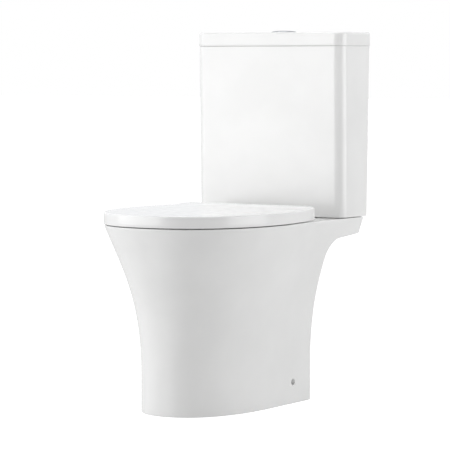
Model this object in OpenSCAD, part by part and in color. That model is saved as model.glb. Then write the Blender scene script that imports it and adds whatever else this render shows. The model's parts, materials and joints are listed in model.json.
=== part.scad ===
// Close coupled toilet: a floor-standing washdown pan of glazed china with an open back, a cistern
// bolted to its rear shelf, a soft-close seat and lid, a dual flush valve and a bottom-inlet fill
// valve. +Z is up, the user sits facing -Y and the wall is on the +Y side. The origin is on the
// floor, midway between the front of the seat and the back of the cistern lid.

/* [Overall] */
// Front of the seat to the back of the cistern lid
projection = 620; // [605:1:640]
// Floor to the top of the flush buttons
total_h = 800; // [790:1:812]
// Floor to the china rim, on which seat and cistern stand
rim_h = 393; // [388:1:398]
// Thickness of the china walls
china_t = 11; // [9:0.5:12]

/* [Pan] */
// Widest part of the rim, side to side
rim_w = 380; // [374:1:384]
// Width of the rear shelf under the cistern
shelf_w = 368; // [364:1:370]
// Width of the pedestal where it meets the floor
plinth_w = 249; // [235:1:265]
// How far the foot of the pedestal is set back behind the front of the seat
plinth_setback = 72; // [60:1:85]
// Height above the floor at which the sides begin to flare out
flare_start = 79; // [60:1:95]
// Radius of the fillet between the open back and the shelf
shelf_fillet = 42; // [34:1:48]
// Height of the axis of the soil outlet above the floor
outlet_h = 180; // [178:1:184]
// Outside radius of the outlet spigot
outlet_r = 51; // [50:0.5:52]
// Radius of the side holes for the floor fixings
side_hole_r = 7; // [5:0.5:8]
// Height of the side fixing holes
side_hole_z = 46; // [40:1:60]

/* [Cistern] */
// Width over the cistern lid
cistern_w = 375; // [370:1:382]
// Depth over the cistern lid, front to back
cistern_d = 131; // [129:1:134]
// Height of the visible edge of the cistern lid
cistern_lid_h = 30; // [28:1:34]
// How far the front face leans back from top to bottom
front_taper = 6; // [3:0.5:8]
// How far the back face leans forward from top to bottom
back_taper = 9; // [5:0.5:10]
// Radius of the two front vertical corners
cistern_corner_r = 24; // [18:1:28]
// Half the distance between the two wall screw holes
wall_hole_x = 110; // [90:1:130]

/* [Seat] */
// Width of the seat lid
lid_w = 382; // [378:1:384]
// Half width of the seat lid at its back edge
lid_back_half_w = 164; // [158:1:170]
// Back edge of the seat lid, measured from the origin
lid_back_y = 104; // [102:1:105]
// Height of the lid above the bottom edge of its skirt
lid_h = 25.5; // [25:0.5:26.5]
// Half the distance between the two seat hinges
hinge_x = 77.5; // [75:0.5:80]

/* [Flush] */
// Radius of the chrome flange around the buttons
bezel_r = 28; // [27:0.5:30]
// Travel of a flush button
button_travel = 6; // [5:0.5:7]
// Half the distance between the cistern bolts
bolt_x = 80; // [78:1:84]
// Sideways place of the fill valve
fill_x = 128; // [126:1:132]

/* [Hidden] */
$fn = 64;

// Frame
front_y = -projection / 2;
wall_y = projection / 2;
over = 1;                 // how far a cutting shape runs past the face it cuts
fit = 0.05;               // radial clearance of a close fit
gap = 0.2;                // clearance between faces that only rest on each other

// Pan
rim_front = front_y + 2;
pedestal_back = wall_y - 155;
shelf_back = wall_y - 25;
deck_under = rim_h - 21;
shelf_under = rim_h - 36;
rim_edge = 3;             // size of the soft edge around the rim
rim_widest_y = -60;
plinth_widest_y = -10;
plan_exponent = 2.3;      // 2 is an ellipse, more is squarer
valve_y = 236;            // centre line of flush valve, fill valve and cistern bolts
recess_r = 42;
recess_z = rim_h - 25;
inlet_r = 31.5;
duct_top = recess_z - 8;
duct_floor = duct_top - 27;
duct_w = 68;
duct_front = 44;
notch_r = 23;
bowl_wall = 9;
pipe_wall = 8;
shelf_back_wall = china_t + 1;
bolt_hole_r = 8;
stud_hole_r = 7;
side_hole_y = 81;

// Cistern
cistern_z = rim_h + 1.2;
cistern_floor = cistern_z + 12;
backnut_z = cistern_z - 12;   // lower face of the flush valve's backnut
cistern_wall = 9;
cistern_lid_top = total_h - 4;
cistern_top = cistern_lid_top - cistern_lid_h;
lid_overhang = 1;
cistern_front = wall_y - cistern_d;
wall_hole_z = cistern_top - 60;
button_y = cistern_front + 71;

// Seat
lid_bottom = rim_h + 2.5;
lid_top = lid_bottom + lid_h;
lid_plate = 6;
lid_skirt = 4;
lid_rise = 3;             // extra height of the lid over its hinges
lid_rise_start = 45;
lid_rise_end = 82;
seat_widest_y = -60;
ring_inset = 6;
ring_bottom = rim_h + 5;
ring_top = ring_bottom + 14;
ring_back_y = lid_back_y - 22;
axis_y = lid_back_y - 7;
axis_z = lid_top - lid_plate - 10.5;
lug_r = 8.5;
lug_bore_r = 6.05;
lug_w = 16;
pin_r = 3.5;
post_w = 24;
post_y = axis_y - 4;
lug_gap = 2.5;
stud_r = 4;
rosette_h = 2;
hinge_sides = [-1, 1];

// Flush valve, from the cistern floor up
washer_h = 3;
spigot_r = 30;
seat_r = 28;
seat_bore = 25;
flange_z = cistern_floor + washer_h;
seat_z = flange_z + 11;
cage_top = flange_z + 51;
tower_r = 36;
tower_top = cistern_top - 82;
head_z = tower_top - 44;
plunger_top = tower_top + button_travel + 10;
overflow_top = head_z - 28;
full_x = -10;
half_x = 13;

// Buttons
button_r = 23;
sleeve_in = 23.4;
sleeve_r = 25;
bezel_floor = cistern_lid_top - 26;
button_bottom = cistern_lid_top - 6;
split_x = 4;
rod_r = 3;

// Fill valve
tail_r = 10.4;
shank_r = tail_r + 0.4;   // the stretch of the tail inside the backnut
tail_end = rim_h - 41;
shank_start = rim_h - 9;
column_r = 11;
fill_top = cistern_top - 126;
float_z = fill_top - 120;
float_h = 80;
rod_x = fill_x - 25;
pivot_x = fill_x + 12;
pivot_z = fill_top + 32;
lever_half = 4;

// ---------------------------------------------------------------- helpers

function mix(a, b, t) = a + (b - a) * t;
function bezier(p, t) =
    p[0] * pow(1 - t, 3) + 3 * p[1] * pow(1 - t, 2) * t + 3 * p[2] * (1 - t) * t * t + p[3] * pow(t, 3);
function raised(points, z) = [for (p = points) [p[0], p[1], z]];
function total(v, i = 0) = i < len(v) - 1 ? v[i] + total(v, i + 1) : v[i];
function middle(ring) = total(ring) / len(ring);

// Right half of a D-shaped plan, from its front centre round to its back corner
function half_plan(w, front, widest, back_w, back, full_back, steps = 12) = concat(
    [for (i = [0 : steps])
        let (a = 90 * i / steps)
        [w * pow(sin(a), 2 / plan_exponent), mix(widest, front, pow(cos(a), 2 / plan_exponent))]],
    [for (i = [1 : 5])
        let (y = mix(widest, back, i / 5), t = (y - widest) / (full_back - widest))
        [mix(w, back_w, t * t), y]]
);

// Whole plan from its right half, anticlockwise seen from above
function whole(half) = concat(
    [for (i = [len(half) - 1 : -1 : 1]) [-half[i][0], half[i][1]]],
    half
);

// Closed oval, front and back halves meeting at the widest line
function oval(w, front, widest, back, steps = 32) = [
    for (i = [0 : steps - 1])
        let (a = 360 * i / steps - 90, s = sin(a), c = cos(a), e = 2 / 2.3)
        [sign(c) * w * pow(abs(c), e),
         s < 0 ? mix(widest, front, pow(-s, e)) : mix(widest, back, pow(s, e))]
];

// Rectangle with its own radius at the front and back corners, anticlockwise
function soft_box(w, front, back, front_r, back_r, steps = 6) = [
    for (c = [[1, front, front_r, -90], [1, back, back_r, 0], [-1, back, back_r, 90],
              [-1, front, front_r, 180]], i = [0 : steps])
        let (a = c[3] + 90 * i / steps,
             y = c[1] == front ? front + c[2] : back - c[2])
        [c[0] * (w - c[2]) + c[2] * cos(a), y + c[2] * sin(a)]
];

// Solid through a row of rings that all have the same number of points
module loft(rings) {
    n = len(rings[0]);
    last = len(rings) - 1;
    points = concat([for (r = rings) each r], [middle(rings[0]), middle(rings[last])]);
    low = n * (last + 1);
    polyhedron(points, concat(
        [for (k = [0 : last - 1], i = [0 : n - 1])
            let (j = (i + 1) % n, a = k * n, b = a + n)
            each [[a + i, b + i, b + j], [a + i, b + j, a + j]]],
        [for (i = [0 : n - 1]) [low, i, (i + 1) % n]],
        [for (i = [0 : n - 1]) [low + 1, last * n + (i + 1) % n, last * n + i]]
    ), convexity = 6);
}

module tube(outer, inner, h) {
    difference() {
        cylinder(h = h, r = outer);
        translate([0, 0, -over]) cylinder(h = h + 2 * over, r = inner);
    }
}

module on_axis_x(x, y, z, r, w) {
    translate([x - w / 2, y, z]) rotate([0, 90, 0]) cylinder(h = w, r = r);
}

module along_y(y, z, r, h) {
    translate([0, y, z]) rotate([-90, 0, 0]) cylinder(h = h, r = r);
}

module both_sides(x) {
    for (side = hinge_sides) translate([side * x, 0, 0]) children();
}

module wing_nut(bore, body_r, h) {
    difference() {
        union() {
            cylinder(h = h, r = body_r);
            for (turn = [0, 180]) rotate([0, 0, turn])
                translate([body_r - over, -1.5, 0]) cube([9, 3, h]);
        }
        translate([0, 0, -over]) cylinder(h = h + 2 * over, r = bore);
    }
}

// ---------------------------------------------------------------- pan

// Share of the way from rim plan to plinth plan, and height, down the flare
flare = [[0, rim_h - rim_edge], [0.484, rim_h - 95], [1, rim_h - 160], [1, flare_start]];

function pan_half(s, inset, back) = half_plan(
    mix(rim_w, plinth_w, s) / 2 - inset,
    mix(rim_front, front_y + plinth_setback, s) + inset,
    mix(rim_widest_y, plinth_widest_y, s),
    mix(shelf_w, plinth_w, s) / 2 - inset, back, back
);

function pan_rings(inset, back, bottom) = concat(
    [raised(whole(pan_half(1, inset, back)), bottom)],
    [for (i = [10 : -1 : 0])
        let (f = bezier(flare, i / 10))
        raised(whole(pan_half(f[0], inset, back)), f[1])]
);

// Side view of the pan: upright open back, fillet, then the underside of the shelf
module pan_profile() {
    rotate([90, 0, 90]) translate([0, 0, -rim_w]) linear_extrude(2 * rim_w) polygon(concat(
        [[2 * front_y, -over], [pedestal_back, -over]],
        [for (i = [0 : 8])
            let (a = 180 - 80 * i / 8)
            [pedestal_back + shelf_fillet * (1 + cos(a)),
             shelf_under - 6 - shelf_fillet * (1 - sin(a))]],
        [[wall_y, shelf_under + 2], [wall_y, rim_h + over], [2 * front_y, rim_h + over]]
    ));
}

module pan_outside() {
    intersection() {
        loft(concat(
            pan_rings(0, shelf_back, 0),
            [raised(whole(pan_half(0, rim_edge, shelf_back)), rim_h)]
        ));
        pan_profile();
    }
}

module pan_hollow() {
    intersection() {
        loft(pan_rings(china_t, shelf_back - shelf_back_wall, -over));
        translate([-rim_w, 2 * front_y, -2 * over])
            cube([2 * rim_w, 3 * projection, deck_under + 2 * over]);
    }
}

// Height, half width, front and back of the bowl at levels from the sump to the rim
bowl_levels = [
    [103, 31, -14, 56], [122, 38, -26, 60], [150, 44, -44, 60], [185, 54, -72, 59],
    [220, 71, -116, 57], [255, 93, -166, 55], [295, 117, -212, 53], [335, 136, -245, 51],
    [368, 147, -261, 50], [rim_h + over, 150, -266, 50]
];

module bowl(wall) {
    loft([for (level = bowl_levels)
        raised(oval(level[1] + wall, level[2] - wall, mix(level[2], level[3], 0.62),
                    level[3] + wall),
               level[0] == bowl_levels[0][0] ? level[0] - wall
                   : min(level[0], wall > 0 ? deck_under : rim_h + over))]);
}

// Passage from the sump up over the weir and down to the outlet
trap_r = 30;
sump_z = 135;
rise_y = 95;
rise_r = 50;
weir_r = 45;
weir_z = 200;
fall = 30;
fall_run = 28.9;
fall_r = 35;
turn_y = rise_y + weir_r * (1 + cos(fall)) + fall_run * sin(fall) + fall_r * cos(fall);
arc_step = 15;

// Stations along the passage: place in the centre plane, then heading from +Y towards +Z
function trap_path(start, end) = concat(
    [[start, sump_z, 0]],
    [for (a = [-90 : arc_step : 0])
        [rise_y - rise_r + rise_r * cos(a), sump_z + rise_r + rise_r * sin(a), a + 90]],
    [for (a = [180 : -arc_step : fall])
        [rise_y + weir_r + weir_r * cos(a), weir_z + weir_r * sin(a), a - 90]],
    [for (a = [180 + fall : arc_step : 270])
        [turn_y + fall_r * cos(a), outlet_h + fall_r + fall_r * sin(a), a - 270]],
    end > turn_y ? [[end, outlet_h, 0]] : []
);

module trap(r, start, end) {
    loft([for (p = trap_path(start, end))
        [for (i = [0 : 19])
            let (b = 18 * i)
            [r * cos(b), p[0] + r * sin(b) * sin(p[2]), p[1] - r * sin(b) * cos(p[2])]]]);
}

outlet_end = wall_y - 48;

module duct_inside() {
    translate([-duct_w / 2, duct_front, duct_floor])
        cube([duct_w, shelf_back - 15 - duct_front, duct_top - duct_floor]);
}

// The china is one casting, in five pieces that meet face to face: wall and deck, bowl, trap, outlet, duct
module pan() {
    color("white") difference() {
        pan_outside();
        pan_hollow();
        bowl(0);
        translate([0, valve_y, recess_z]) cylinder(h = rim_h, r = recess_r);
        both_sides(bolt_x) translate([0, valve_y, 0]) cylinder(h = rim_h + over, r = bolt_hole_r);
        both_sides(hinge_x) translate([0, post_y, 0]) cylinder(h = rim_h + over, r = stud_hole_r);
        both_sides(fill_x) hull() {
            translate([0, valve_y, 0]) cylinder(h = rim_h + over, r = notch_r);
            translate([0, wall_y, 0]) cylinder(h = rim_h + over, r = notch_r);
        }
        on_axis_x(0, side_hole_y, side_hole_z, side_hole_r, rim_w);
    }
}

module pan_bowl() {
    color("whitesmoke") difference() {
        bowl(bowl_wall);
        bowl(0);
        trap(trap_r, 20, turn_y + 3);
        duct_inside();
    }
}

module pan_trap() {
    color("gainsboro") difference() {
        trap(trap_r + pipe_wall, 10, turn_y);
        bowl(bowl_wall);
        trap(trap_r, 5, turn_y + 3);
    }
}

module pan_outlet() {
    end_wall = 6;
    color("silver") difference() {
        along_y(turn_y, outlet_h, outlet_r, outlet_end - turn_y);
        along_y(turn_y - over, outlet_h, trap_r, end_wall + 2 * over);
        along_y(turn_y + end_wall, outlet_h, outlet_r - bowl_wall, outlet_end - turn_y);
    }
}

module pan_inlet_duct() {
    inlet_boss_r = recess_r + 6;
    color("lightgray") difference() {
        union() {
            translate([-duct_w / 2 - bowl_wall, duct_front, duct_floor - pipe_wall])
                cube([duct_w + 2 * bowl_wall, shelf_back - shelf_back_wall - duct_front,
                      deck_under - duct_floor + pipe_wall]);
            intersection() {
                translate([0, valve_y, duct_top - pipe_wall])
                    cylinder(h = deck_under - duct_top + pipe_wall, r = inlet_boss_r);
                translate([-rim_w, 0, 0]) cube([2 * rim_w, shelf_back - shelf_back_wall, rim_h]);
            }
        }
        bowl(bowl_wall);
        duct_inside();
        translate([0, valve_y, recess_z]) cylinder(h = rim_h, r = recess_r);
        translate([0, valve_y, duct_top - over]) cylinder(h = rim_h, r = inlet_r);
    }
}

// ---------------------------------------------------------------- cistern

function cistern_ring(z, inset) =
    let (t = (cistern_top - z) / (cistern_top - cistern_z))
    raised(soft_box((cistern_w / 2) - lid_overhang - inset - 1.1 * t,
                    cistern_front + lid_overhang + front_taper * t + inset,
                    wall_y - lid_overhang - back_taper * t - inset,
                    cistern_corner_r - lid_overhang - inset, max(10 - inset, 2)), z);

module cistern() {
    color("white") difference() {
        loft([cistern_ring(cistern_z, 0), cistern_ring(cistern_top, 0)]);
        loft([cistern_ring(cistern_floor, cistern_wall),
              cistern_ring(cistern_top + over, cistern_wall)]);
        translate([0, valve_y, cistern_z - over]) cylinder(h = 20, r = spigot_r + 1);
        both_sides(bolt_x) translate([0, valve_y, cistern_z - over]) cylinder(h = 20, r = 6);
        translate([fill_x, valve_y, cistern_z - over]) cylinder(h = 20, r = shank_r + 0.4);
        both_sides(wall_hole_x) along_y(wall_y - 40, wall_hole_z, 5, 60);
    }
}

function lid_ring(z, inset) = raised(soft_box(
    cistern_w / 2 - inset, cistern_front + inset, wall_y - inset,
    max(cistern_corner_r - inset, 3), max(11 - inset, 3)), z);

module cistern_lid() {
    wall_in = cistern_wall + lid_overhang + 1.2;
    lip_in = wall_in + 6;
    color("white") difference() {
        union() {
            loft([lid_ring(cistern_top, 0), lid_ring(cistern_lid_top - 2, 0),
                  lid_ring(cistern_lid_top, 2)]);
            loft([lid_ring(cistern_top - 8, wall_in), lid_ring(cistern_top + over, wall_in)]);
        }
        loft([lid_ring(cistern_top - 8 - over, lip_in), lid_ring(cistern_lid_top - 9, lip_in)]);
        translate([0, button_y, cistern_top]) cylinder(h = 60, r = sleeve_r + 0.4);
    }
}

module coupling_gasket() {
    color("dimgray") translate([0, valve_y, recess_z])
        tube(recess_r - 0.3, spigot_r + 0.3, backnut_z - gap - recess_z);
}

module cistern_pads() {
    pad = [16, 18, cistern_z - rim_h];
    color("dimgray") for (side = hinge_sides, y = [valve_y - 28, valve_y + 26])
        translate([side * (shelf_w / 2 - 16) - pad[0] / 2, y - pad[1] / 2, rim_h]) cube(pad);
}

module cistern_bolts() {
    color("goldenrod") both_sides(bolt_x) translate([0, valve_y, 0]) {
        translate([0, 0, deck_under - 30]) cylinder(h = cistern_floor + 7 - deck_under + 30, r = 4);
        translate([0, 0, cistern_floor + 6.1]) cylinder(h = 5.5, r = 7.5, $fn = 6);
    }
}

module bolt_seals() {
    color("dimgray") both_sides(bolt_x) translate([0, valve_y, cistern_floor]) tube(12, 4.1, 6);
}

module bolt_washers() {
    color("silver") both_sides(bolt_x) translate([0, valve_y, deck_under - 2.1]) tube(13, 4.1, 2);
}

module cistern_wing_nuts() {
    color("goldenrod") both_sides(bolt_x) translate([0, valve_y, deck_under - 11.2])
        wing_nut(4 + fit, 7.5, 9);
}

// ---------------------------------------------------------------- seat hinges

module hinge_posts() {
    color("silver") both_sides(hinge_x) difference() {
        union() {
            on_axis_x(0, axis_y, axis_z, lug_r, post_w);
            translate([-post_w / 2, post_y - 8, rim_h + rosette_h])
                cube([post_w, 20, axis_z - rim_h - rosette_h]);
        }
        on_axis_x(0, axis_y, axis_z, pin_r + fit, post_w + 2 * over);
        translate([0, post_y, rim_h]) cylinder(h = rosette_h + 5, r = stud_r + fit);
    }
}

module hinge_pins() {
    color("lightsteelblue") both_sides(hinge_x) on_axis_x(0, axis_y, axis_z, pin_r, 59);
}

module hinge_rosettes() {
    color("silver") both_sides(hinge_x) translate([0, post_y, rim_h])
        tube(15, stud_r + fit, rosette_h);
}

module hinge_studs() {
    color("lightsteelblue") both_sides(hinge_x) translate([0, post_y, deck_under - 32])
        cylinder(h = rim_h + rosette_h + 4.9 - deck_under + 32, r = stud_r);
}

module hinge_stud_washers() {
    color("dimgray") both_sides(hinge_x) translate([0, post_y, deck_under - 3.1])
        tube(12, stud_r + fit, 3);
}

module hinge_wing_nuts() {
    color("whitesmoke") both_sides(hinge_x) translate([0, post_y, deck_under - 14.2])
        wing_nut(stud_r + fit, 9, 11);
}

// ---------------------------------------------------------------- seat ring and lid

function seat_half(inset, back) = [
    for (p = half_plan(lid_w / 2, front_y + inset, seat_widest_y, lid_back_half_w, back,
                       lid_back_y))
        [max(p[0] - inset * min(1, p[0] / 40), 0), p[1]]
];

ring_lug_x = hinge_x + post_w / 2 + lug_gap + lug_w / 2;
lid_lug_x = hinge_x - post_w / 2 - lug_gap - lug_w / 2;

// Bored cylinder on the hinge axis, one each side, with a web to the part it carries
module lugs(x, web_y, web_end, web_z, web_top) {
    both_sides(x) difference() {
        union() {
            on_axis_x(0, axis_y, axis_z, lug_r, lug_w);
            translate([-lug_w / 2, web_y, web_z]) cube([lug_w, web_end - web_y, web_top - web_z]);
        }
        on_axis_x(0, axis_y, axis_z, lug_bore_r, lug_w + 2 * over);
    }
}

module seat_ring() {
    color("white") {
        difference() {
            loft([raised(whole(seat_half(ring_inset, ring_back_y)), ring_bottom),
                  raised(whole(seat_half(ring_inset, ring_back_y)), ring_top - 3),
                  raised(whole(seat_half(ring_inset + 3, ring_back_y)), ring_top)]);
            translate([0, 0, ring_bottom - over]) linear_extrude(20)
                polygon(oval(112, front_y + 72, -85, 42));
        }
        lugs(ring_lug_x, ring_back_y - 2, axis_y, ring_bottom, ring_top - 1);
    }
}

module ring_buffers() {
    color("lightgray") for (side = hinge_sides, p = [[168, -40], [105, -249]])
        translate([side * p[0], p[1], rim_h + gap])
            cylinder(h = ring_bottom - rim_h - gap, r = 6);
}

module lid_shell() {
    difference() {
        loft([raised(whole(seat_half(0, lid_back_y)), lid_bottom),
              raised(whole(seat_half(0, lid_back_y)), lid_top - 3),
              raised(whole(seat_half(2, lid_back_y)), lid_top)]);
        loft([raised(whole(seat_half(lid_skirt, lid_back_y + 8)), lid_bottom - over),
              raised(whole(seat_half(lid_skirt, lid_back_y + 8)), lid_top - lid_plate)]);
    }
}

// Raised back of the lid, with a ramp up to it from the front
module lid_rise_pad() {
    half_w = lid_back_half_w - 12;
    translate([-half_w, 0, 0]) rotate([90, 0, 90]) linear_extrude(2 * half_w) polygon([
        [lid_rise_start, lid_top - 1], [lid_rise_start, lid_top],
        [mix(lid_rise_start, lid_rise_end, 0.35), lid_top + 0.25 * lid_rise],
        [mix(lid_rise_start, lid_rise_end, 0.65), lid_top + 0.75 * lid_rise],
        [lid_rise_end, lid_top + lid_rise], [lid_back_y - 2, lid_top + lid_rise],
        [lid_back_y - 2, lid_top - 1]
    ]);
}

module seat_lid() {
    color("white") {
        lid_shell();
        lid_rise_pad();
        lugs(lid_lug_x, axis_y - 8, axis_y + 5.5, axis_z, lid_top - lid_plate + 1);
    }
}

module lid_buffers() {
    color("lightgray") for (side = hinge_sides, p = [[148, -60], [95, -245]])
        translate([side * p[0], p[1], ring_top + gap])
            cylinder(h = lid_top - lid_plate - ring_top - gap, r = 6);
}

module sleeve_on_pin(x) {
    difference() {
        on_axis_x(x, axis_y, axis_z, lug_bore_r - fit, lug_w);
        on_axis_x(x, axis_y, axis_z, pin_r + fit, lug_w + 2 * over);
    }
}

module ring_damper() { color("slategray") sleeve_on_pin(ring_lug_x); }
module ring_bush() { color("whitesmoke") sleeve_on_pin(-ring_lug_x); }
module lid_damper() { color("slategray") sleeve_on_pin(-lid_lug_x); }
module lid_bush() { color("whitesmoke") sleeve_on_pin(lid_lug_x); }

// ---------------------------------------------------------------- flush buttons

module at_button() { translate([0, button_y, 0]) children(); }

module button_bezel() {
    color("silver") at_button() difference() {
        union() {
            translate([0, 0, bezel_floor]) tube(sleeve_r, sleeve_in, cistern_lid_top - bezel_floor);
            rotate_extrude() polygon([
                [sleeve_in, cistern_lid_top], [bezel_r, cistern_lid_top],
                [bezel_r - 0.6, cistern_lid_top + 1], [sleeve_in + 1, cistern_lid_top + 2.4],
                [sleeve_in, cistern_lid_top + 2.2]]);
            translate([0, 0, bezel_floor]) cylinder(h = 3, r = sleeve_in + 0.5);
        }
        for (x = [full_x, half_x]) translate([x, 0, bezel_floor - over])
            cylinder(h = 3 + 2 * over, r = rod_r + 0.4);
    }
}

module bezel_washer() {
    color("dimgray") at_button() translate([0, 0, cistern_lid_top - 11])
        tube(33, sleeve_r + fit, 2);
}

module bezel_nut() {
    color("whitesmoke") at_button() translate([0, 0, cistern_lid_top - 18]) difference() {
        cylinder(h = 6.9, r = 33);
        translate([0, 0, -over]) cylinder(h = 9, r = sleeve_r + fit);
        for (a = [0 : 45 : 315]) rotate([0, 0, a]) translate([34, 0, -over]) cylinder(h = 9, r = 4);
    }
}

// Domed push piece, cut to its own side of the split line
module push_piece(side, rod_place) {
    dome_r = 190;
    color("silver") at_button() difference() {
        intersection() {
            translate([0, 0, button_bottom]) cylinder(h = 20, r = button_r);
            translate([0, 0, total_h - dome_r]) sphere(r = dome_r, $fn = 128);
            translate([side > 0 ? split_x + 0.4 : -50, -50, button_bottom])
                cube([side > 0 ? 50 : 50 + split_x - 0.4, 100, 20]);
        }
        translate([rod_place, 0, button_bottom - over]) cylinder(h = 6, r = rod_r + fit);
    }
}

module push_rod(x) {
    start = plunger_top + gap;
    color("whitesmoke") at_button() translate([x, 0, start])
        cylinder(h = button_bottom + 4.9 - start, r = rod_r);
}

// Points around a wire of radius w wound on a helix
function coil_ring(k, per_turn, radius, pitch, w, sides) =
    let (a = 360 * k / per_turn, z = pitch * k / per_turn)
    [for (i = [0 : sides - 1])
        let (b = 360 * i / sides, r = radius + w * cos(b))
        [r * cos(a), r * sin(a), z + w * sin(b)]];

module spring(x) {
    w = 0.6;
    sides = 5;
    per_turn = 14;
    rings = 5 * per_turn;
    h = button_bottom - bezel_floor - 3 - 2 * w - gap;
    points = [for (k = [0 : rings]) each coil_ring(k, per_turn, 5, h / 5, w, sides)];
    color("lightsteelblue") at_button() translate([x, 0, bezel_floor + 3 + w + gap / 2])
        polyhedron(points, concat(
            [[for (i = [0 : sides - 1]) i]],
            [[for (i = [sides - 1 : -1 : 0]) rings * sides + i]],
            [for (k = [0 : rings - 1], i = [0 : sides - 1])
                let (j = (i + 1) % sides, a = k * sides, b = a + sides)
                each [[a + i, b + i, b + j], [a + i, b + j, a + j]]]
        ), convexity = 10);
}

module full_flush_button() { push_piece(-1, full_x); }
module half_flush_button() { push_piece(1, half_x); }
module full_flush_rod() { push_rod(full_x); }
module half_flush_rod() { push_rod(half_x); }
module full_flush_spring() { spring(full_x); }
module half_flush_spring() { spring(half_x); }

// Plunger in the valve head, pushed down by a rod
module plunger(x) {
    color("cornflowerblue") at_button() translate([x, 0, 0]) {
        translate([0, 0, head_z - 4]) cylinder(h = plunger_top - head_z + 4, r = 5);
        translate([0, 0, plunger_top - 4]) cylinder(h = 4, r = 7);
    }
}

module full_flush_plunger() { plunger(full_x); }
module half_flush_plunger() { plunger(half_x); }

// ---------------------------------------------------------------- flush valve

module at_valve(z = 0) { translate([0, valve_y, z]) children(); }

module flush_valve_base() {
    color("whitesmoke") at_valve() {
        difference() {
            union() {
                translate([0, 0, recess_z - 2]) cylinder(h = flange_z - recess_z + 2, r = spigot_r);
                translate([0, 0, flange_z]) cylinder(h = 4, r = tower_r + 2);
                translate([0, 0, flange_z + 3]) cylinder(h = 8, r = seat_r);
            }
            translate([0, 0, recess_z - 2 - over]) cylinder(h = 80, r = seat_bore);
        }
        for (a = [45 : 90 : 315]) rotate([0, 0, a])
            translate([tower_r - 4.5, -4, flange_z + 3]) cube([4, 8, cage_top - flange_z - 6]);
        translate([0, 0, cage_top - 6]) tube(tower_r, tower_r - 4.5, 6);
    }
}

module flush_valve_tower() {
    color("steelblue") at_valve() difference() {
        union() {
            translate([0, 0, cage_top]) tube(tower_r, tower_r - 4.5, head_z - cage_top + 1);
            translate([0, 0, head_z]) cylinder(h = tower_top - head_z, r = tower_r);
        }
        for (a = [0, 90]) rotate([0, 0, a]) translate([-2 * tower_r, -13, cage_top + 25])
            cube([4 * tower_r, 26, 70]);
        for (x = [full_x, half_x]) translate([x, button_y - valve_y, head_z - over])
            cylinder(h = 60, r = 5.3);
    }
}

module flush_valve_washer() {
    color("dimgray") at_valve(cistern_floor) tube(tower_r + 2, spigot_r + 0.3, washer_h);
}

module flush_valve_backnut() {
    color("whitesmoke") at_valve(backnut_z) difference() {
        cylinder(h = 11.9, r = 39);
        translate([0, 0, -over]) cylinder(h = 14, r = spigot_r + fit);
        for (a = [0 : 30 : 330]) rotate([0, 0, a]) translate([41, 0, -over])
            cylinder(h = 14, r = 4);
    }
}

tube_r = 13;

module overflow_tube() {
    color("whitesmoke") at_valve() difference() {
        union() {
            translate([0, 0, seat_z - 8]) cylinder(h = overflow_top - seat_z + 8, r = tube_r);
            translate([0, 0, seat_z + 3]) cylinder(h = 3.2, r = 27);
        }
        translate([0, 0, seat_z - 8 - over]) cylinder(h = 400, r = tube_r - 2);
    }
}

module flush_seal() {
    color("firebrick") at_valve(seat_z) tube(29.5, tube_r + fit, 2.95);
}

module seal_retainer() {
    color("whitesmoke") at_valve(seat_z - 5) tube(20, tube_r + fit, 4.9);
}

module valve_float() {
    color("whitesmoke") at_valve(seat_z + 78) difference() {
        cylinder(h = 58, r = 27);
        translate([0, 0, -over]) cylinder(h = 60, r = tube_r + fit);
        translate([0, 0, -over]) difference() {
            cylinder(h = 50, r = 24.5);
            cylinder(h = 50, r = tube_r + 3);
        }
    }
}

// ---------------------------------------------------------------- fill valve

module at_fill(z = 0) { translate([fill_x, valve_y, z]) children(); }

module fill_valve_body() {
    color("whitesmoke") at_fill() difference() {
        union() {
            translate([0, 0, tail_end]) cylinder(h = shank_start - tail_end, r = tail_r);
            translate([0, 0, shank_start]) cylinder(h = flange_z - shank_start, r = shank_r);
            translate([0, 0, flange_z]) cylinder(h = 4, r = 17);
            translate([0, 0, flange_z + 3]) cylinder(h = fill_top - flange_z - 3, r = column_r);
        }
        translate([0, 0, tail_end - over]) cylinder(h = fill_top, r = 6.5);
    }
}

module fill_valve_cap() {
    color("steelblue") difference() {
        union() {
            at_fill(fill_top) cylinder(h = 24, r = 20);
            for (side = hinge_sides) translate([pivot_x - 5, valve_y + side * 6 - 1.5, fill_top + 23])
                cube([10, 3, 15]);
        }
        at_fill(fill_top + 12) cylinder(h = 20, r = 2 + fit);
        lever_axis(1.5 + fit, 30);
    }
}

module lever_axis(r, w) {
    translate([pivot_x, valve_y - w / 2, pivot_z]) rotate([-90, 0, 0]) cylinder(h = w, r = r);
}

module lever_pin() { color("lightsteelblue") lever_axis(1.5, 17); }

module pilot_pin() {
    color("dimgray") at_fill(fill_top + 12 + gap) cylinder(h = pivot_z - fill_top - 15, r = 2);
}

module float_lever() {
    tip_x = rod_x - 12;
    slot_half = 2.7;
    color("steelblue") difference() {
        union() {
            lever_axis(4, 2 * lever_half);
            translate([tip_x, valve_y - lever_half, pivot_z - 2.5])
                cube([pivot_x - tip_x, 2 * lever_half, 5]);
        }
        lever_axis(1.5 + fit, 20);
        translate([tip_x + 3, valve_y - slot_half, pivot_z - 10])
            cube([rod_x + 4.5 - tip_x - 3, 2 * slot_half, 20]);
    }
}

module fill_valve_washer() {
    color("dimgray") at_fill(cistern_floor) tube(17, shank_r + gap, washer_h);
}

module fill_valve_backnut() {
    color("goldenrod") at_fill(cistern_z - 10) difference() {
        cylinder(h = 9.9, r = 17, $fn = 6);
        translate([0, 0, -over]) cylinder(h = 12, r = shank_r + fit);
    }
}

module inlet_filter() {
    color("gray") at_fill(tail_end + 1) tube(6.4, 4.5, 22);
}

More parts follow.
